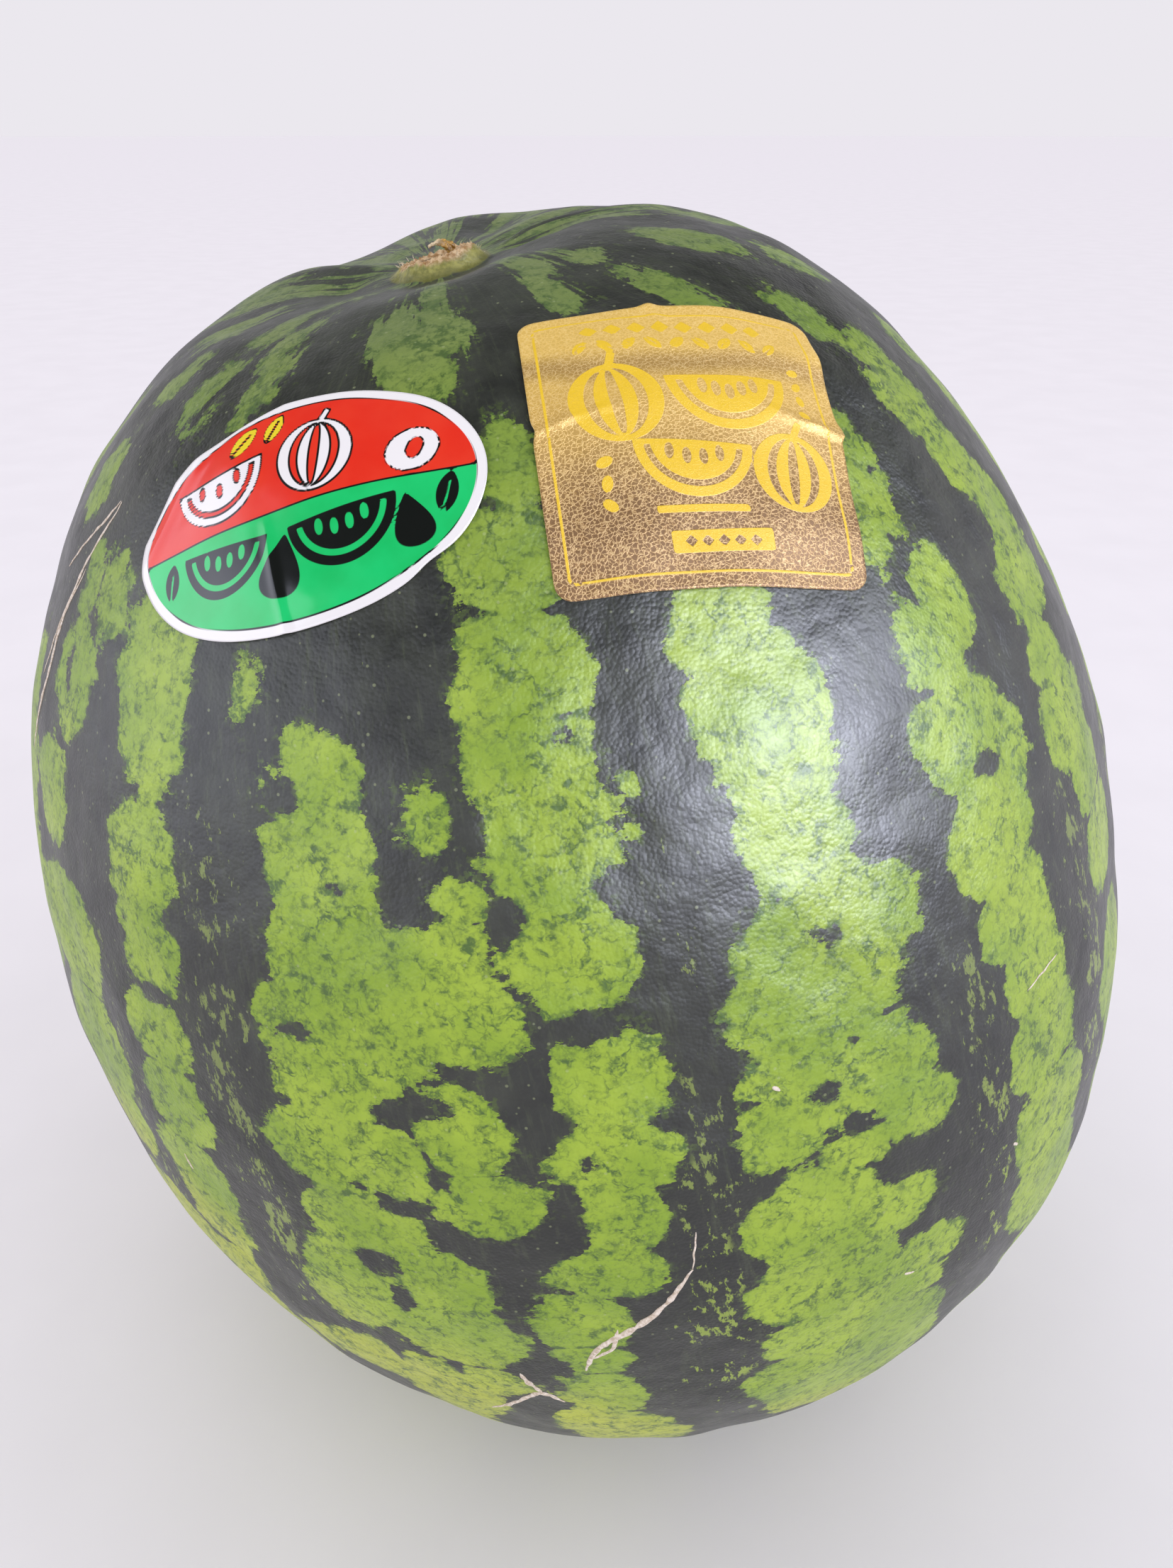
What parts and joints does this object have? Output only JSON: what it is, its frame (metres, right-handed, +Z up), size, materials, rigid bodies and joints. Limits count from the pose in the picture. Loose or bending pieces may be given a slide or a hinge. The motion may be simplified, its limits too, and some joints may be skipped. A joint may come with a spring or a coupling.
{
  "type": "watermelon",
  "caption": "Large oblong striped watermelon standing on its blossom end, with a dried stem stub and two stuck-on labels.",
  "frame": {"origin": "the middle of the small flat spot that the fruit rests on, on its underside", "axes": "+Z up, the flat spot faces -Z; -Y is the side the labels face, +X is to the right of it; the stem end leans 11.8 degrees towards -X and 4 degrees towards -Y"},
  "size_m": [0.2542, 0.2514, 0.2916],
  "materials": {
    "rind": "waxy striped rind, near-black green with jagged light green stripes, satin sheen",
    "dried_stem": "dry yellow-brown plant fibre",
    "vinyl_label": "glossy printed vinyl, red and green with a white edge",
    "foil_label": "grainy gold-brown foil on paper, slightly creased"
  },
  "bodies": {
    "root": {"fruit": "rind", "stem_stub": "dried_stem", "oval_label": "vinyl_label", "square_label": "foil_label"}
  },
  "joints": []
}
